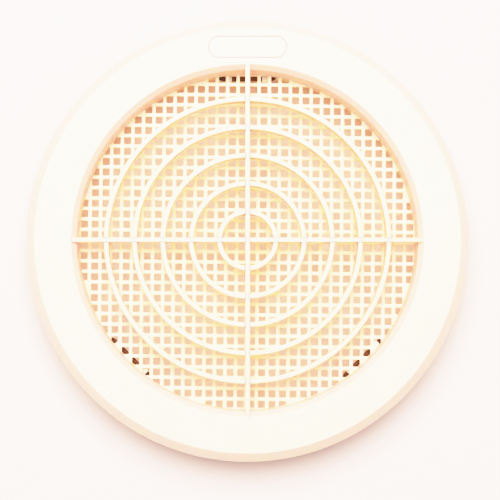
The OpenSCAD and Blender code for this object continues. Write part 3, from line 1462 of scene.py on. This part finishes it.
@dataclass
class SpringClip:
    """One wire clip: a straight bar in the hooks, and two legs with knees outside the collar."""

    finish: bpy.types.Material
    seat: Seat
    wire: float = WIRE_RADIUS
    bend: float = 1.6 * MM
    knee: tuple[float, float] = (64.5 * MM, -12.5 * MM)
    tip: tuple[float, float] = (61.0 * MM, -15.8 * MM)
    end_angles: tuple[float, ...] = (0.25, 0.6, 0.95, 1.25)
    bend_steps: int = 10
    sides: int = 24

    def _path(self) -> list[Vector]:
        """Set out the wire's centre line.

        Returns:
            The line's points, from one tip to the other, where the clip stands at rest.
        """
        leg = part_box("spring_clip_top")[1].x - self.wire
        radius, height = self.seat.radius, self.seat.height
        knee = Vector((leg, self.knee[0] - radius, self.knee[1] - height))
        tip = Vector((leg, self.tip[0] - radius, self.tip[1] - height))
        corner = Vector((leg, 0.0, 0.0))
        half = [*self._bent(Vector((0.0, 0.0, 0.0)), corner, knee), *self._bent(corner, knee, tip), tip]
        other = [Vector((-p.x, p.y, p.z)) for p in reversed(half)]
        place = self.seat.place()
        middle = [Vector((x * leg / 4, 0.0, 0.0)) for x in (-2, -1, 0, 1, 2)]
        return [place @ p for p in (*other, *middle, *half)]

    def _bent(self, before: Vector, corner: Vector, after: Vector) -> list[Vector]:
        """Round one corner of the centre line.

        Args:
            before: the point before the corner.
            corner: the corner.
            after: the point after it.

        Returns:
            The points of the bend.
        """
        a, b = (before - corner).normalized(), (after - corner).normalized()
        half = a.angle(b) / 2
        centre = corner + (a + b).normalized() * (self.bend / math.sin(half))
        start = corner + a * (self.bend / math.tan(half)) - centre
        axis = a.cross(b).normalized()
        turn = math.pi - 2 * half
        steps = range(self.bend_steps + 1)
        return [centre + Matrix.Rotation(-turn * k / self.bend_steps, 3, axis) @ start for k in steps]

    def build(self) -> bpy.types.Object:
        """Sweep the wire, lay out its lines and dress it.

        Returns:
            The clip.
        """
        path = self._path()
        draft = MeshDraft(f"wire_clip_{self.seat.side.value}")
        tangents = [(b - a).normalized() for a, b in zip(path, path[1:])]
        between = [(a + b).normalized() for a, b in zip(tangents, tangents[1:])]
        directions = [tangents[0], *between, tangents[-1]]
        normal = directions[0].orthogonal().normalized()
        loops: list[list[int]] = []
        lengths: list[float] = []
        travelled = 0.0
        rounds = [(self.wire * math.sin(a), self.wire * (1 - math.cos(a))) for a in self.end_angles]

        def ring(centre: Vector, along: Vector, radius: float, done: float) -> None:
            """Add one round section of the wire.

            Args:
                centre: its centre.
                along: the wire's direction there.
                radius: its radius.
                done: how far along the wire it is.
            """
            side = along.cross(normal).normalized()
            row = []
            for k in range(self.sides):
                angle = 2 * math.pi * k / self.sides
                row.append(centre + (normal * math.cos(angle) + side * math.sin(angle)) * radius)
            loops.append(draft.add_loop(row, [1.0 if radius < self.wire else 0.0] * self.sides))
            lengths.append(done)

        for radius, cut in rounds:
            ring(path[0] - directions[0] * (self.wire - cut), directions[0], radius, -self.wire + cut)
        for k, (point, along) in enumerate(zip(path, directions)):
            normal = (normal - along * normal.dot(along)).normalized()
            if k:
                travelled += (point - path[k - 1]).length
            ring(point, along, self.wire, travelled)
        for radius, cut in reversed(rounds):
            ring(path[-1] + directions[-1] * (self.wire - cut), directions[-1], radius,
                 travelled + self.wire - cut)
        draft.skin(loops)
        draft.cap(loops[0][::-1])
        draft.cap(loops[-1])
        piece = draft.build()
        self._lay_lines(piece, lengths)
        return dress(piece, self.seat.body, self.finish, [f"spring_clip_{self.seat.side.value}"])

    def _lay_lines(self, piece: bpy.types.Object, lengths: Sequence[float]) -> None:
        """Give the wire coordinates round and along it, for the lines that drawing leaves.

        Args:
            piece: the wire.
            lengths: how far along the wire each section is.
        """
        layer = piece.data.uv_layers.new(name="wire")
        longest = max(lengths)
        for loop in piece.data.loops:
            section, around = divmod(loop.vertex_index, self.sides)
            turn = abs(2 * around / self.sides - 1)
            layer.data[loop.index].uv = (turn, lengths[section] / longest)


# ---------------------------------------------------------------------------------------------
# Studio
# ---------------------------------------------------------------------------------------------


@dataclass
class Studio:
    """Pale table, soft warm light from the grille's top side, and the camera above it."""

    camera_foot: tuple[float, float] = (-9.4 * MM, -31.7 * MM)
    camera_height: float = 446.0 * MM
    aimed_at: tuple[float, float] = (-7.0 * MM, -23.5 * MM)
    view_centre: tuple[float, float] = (0.78 * MM, -3.46 * MM)
    view_width: float = 168.35 * MM
    sensor: float = 36.0
    table_reach: float = 3.0
    gap_below: float = 0.05 * MM
    light_angle: float = 70.0
    light_turn: float = 8.0
    light_distance: float = 1.1
    light_size: float = 0.85
    light_power: float = 24.6
    light_tint: Colour = (1.0, 0.71, 0.635)
    ceiling: float = 0.95
    horizon: float = 0.15
    ceiling_tint: Colour = (1.0, 0.835, 0.79)
    backdrop: float = 0.8
    light_bounces: int = 12
    extra_bounces: int = 4
    nearest_seen: float = 10.0 * MM
    exposure: float = 0.0
    shoulder_start: float = 0.65
    shoulder_end: float = 0.975
    shoulder_range: float = 4.0
    shoulder_points: int = 17

    def build(self) -> None:
        """Set out the table, the lights and the camera."""
        low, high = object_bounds()
        self._table(low[2] - self.gap_below)
        self._lamp(high[2])
        self._surroundings()
        self._picture()
        self._camera(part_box("bezel")[1].z)

    def _table(self, height: float) -> None:
        """Lay the table under the collar.

        Args:
            height: the level of the grille's lowest point.
        """
        draft = MeshDraft("table")
        reach = self.table_reach
        corners = [Vector((x * reach, y * reach, height)) for x, y in ((-1, -1), (1, -1), (1, 1), (-1, 1))]
        draft.cap(draft.add_loop(corners, [0.0] * 4))
        table = draft.build(outward=False)
        table.data.materials.append(TableTop().build())
        table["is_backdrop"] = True

    def _lamp(self, height: float) -> None:
        """Hang the soft lamp over the grille's top side.

        Args:
            height: the level that the lamp is aimed at.
        """
        lamp = bpy.data.lights.new("soft_lamp", "AREA")
        lamp.shape = "DISK"
        lamp.size = self.light_size
        lamp.energy = self.light_power
        lamp.color = self.light_tint
        holder = bpy.data.objects.new("soft_lamp", lamp)
        bpy.context.scene.collection.objects.link(holder)
        rise = math.radians(self.light_angle)
        turn = math.radians(self.light_turn)
        level = math.cos(rise)
        arm = Vector((-math.sin(turn) * level, math.cos(turn) * level, math.sin(rise))) * self.light_distance
        holder.location = arm + Vector((0.0, 0.0, height))
        holder.rotation_euler = arm.to_track_quat("Z", "Y").to_euler()

    def _surroundings(self) -> None:
        """Light the room evenly all round, more from the ceiling than from the walls, before a pale wall."""
        world = bpy.data.worlds.new("soft_room")
        world.use_nodes = True
        wires = Wiring(world.node_tree)
        direction = wires.add("ShaderNodeTexCoord").outputs["Generated"]
        split = wires.add("ShaderNodeSeparateXYZ")
        wires.link(direction, split.inputs[0])
        rise = wires.ramp(split.outputs["Z"], 0.0, 1.0)
        strength = wires.ramp(rise, 0.0, 1.0, self.horizon, self.ceiling)
        sky = wires.add("ShaderNodeBackground", color=(*self.ceiling_tint, 1.0))
        wires.link(strength, sky.inputs["Strength"])
        wall = wires.add("ShaderNodeBackground", strength=self.backdrop)
        wall.inputs["Color"].default_value = (1.0, 1.0, 1.0, 1.0)
        seen = wires.add("ShaderNodeLightPath").outputs["Is Camera Ray"]
        either = wires.add("ShaderNodeMixShader")
        wires.link(seen, either.inputs[0])
        wires.link(sky.outputs[0], either.inputs[1])
        wires.link(wall.outputs[0], either.inputs[2])
        outlet = wires.add("ShaderNodeOutputWorld")
        wires.link(either.outputs[0], outlet.inputs["Surface"])
        bpy.context.scene.world = world

    def _picture(self) -> None:
        """Let light pass back and forth inside the collar, and hold the brightest tones back softly."""
        scene = bpy.context.scene
        scene.cycles.diffuse_bounces = self.light_bounces
        scene.cycles.max_bounces = self.light_bounces + self.extra_bounces
        settings = scene.view_settings
        settings.view_transform = "Standard"
        settings.look = "None"
        settings.exposure = self.exposure
        settings.use_curve_mapping = True
        tones = settings.curve_mapping
        tones.white_level = (self.shoulder_range,) * 3
        curve = tones.curves[3]
        room = self.shoulder_end - self.shoulder_start
        for k in range(1, self.shoulder_points):
            over = (self.shoulder_range - self.shoulder_start) * (k / self.shoulder_points) ** 2
            level = self.shoulder_start + room * (1.0 - math.exp(-over / room))
            curve.points.new((self.shoulder_start + over) / self.shoulder_range, level)
        curve.points.new(self.shoulder_start / self.shoulder_range, self.shoulder_start)
        curve.points[-1].location = (1.0, self.shoulder_end)
        tones.update()

    def _camera(self, face: float) -> None:
        """Stand the camera over the grille, nearly square to its face.

        Args:
            face: the level of the grille's face.
        """
        eye = Vector((*self.camera_foot, face + self.camera_height))
        aim = Vector((*self.aimed_at, face))
        back = (eye - aim).normalized()
        right = Vector((0.0, 1.0, 0.0)).cross(back).normalized()
        up = back.cross(right)
        data = bpy.data.cameras.new("camera")
        data.sensor_width = self.sensor
        data.lens = self.sensor * (eye - aim).length / self.view_width
        data.shift_x = (self.view_centre[0] - aim.x) / self.view_width
        data.shift_y = (self.view_centre[1] - aim.y) / self.view_width
        data.clip_start = self.nearest_seen
        camera = bpy.data.objects.new("camera", data)
        bpy.context.scene.collection.objects.link(camera)
        camera.matrix_world = Matrix.Translation(eye) @ Matrix((right, up, back)).transposed().to_4x4()
        bpy.context.scene.camera = camera


def main() -> None:
    """Build every sub-assembly in order."""
    logging.basicConfig(level=logging.INFO, format="%(name)s: %(message)s")
    effects = SurfaceEffects()
    # painted shade: the flange's side colour darkens its bevel and the other walls that slope away from the
    # face
    flange_ivory = MouldedPlastic("ivory_plastic_flange", base=(0.99, 0.85, 0.71), deep=(0.985, 0.83, 0.68),
                                  side=(1.0, 0.74, 0.65), rubbed=(0.99, 0.85, 0.74)).build(effects)
    # painted light: the ribs, collar, beads, clip seats and screen take a brighter, more orange ivory than
    # the flange of the same moulding, standing in for the warm light that bounces about inside the opening
    ivory = MouldedPlastic("ivory_plastic_moulded").build(effects)
    screen_ivory = MouldedPlastic("ivory_plastic_screen", grain=0.7).build(effects)
    steel = DrawnSteel("drawn_spring_steel").build(effects)
    seats = read_seats()
    pieces = [Bezel(flange_ivory).build(), *GrilleRibs(ivory).build(), PlateOutline(flange_ivory).build()]
    pieces += [DuctCollar(ivory, seats).build(), ScreenCatches(ivory).build()]
    pieces += [ClipSeat(ivory, seat).build() for seat in seats]
    pieces.append(InsectScreen(screen_ivory).build())
    pieces += [SpringClip(steel, seat).build() for seat in seats]
    Studio().build()


if __name__ == "__main__":
    main()
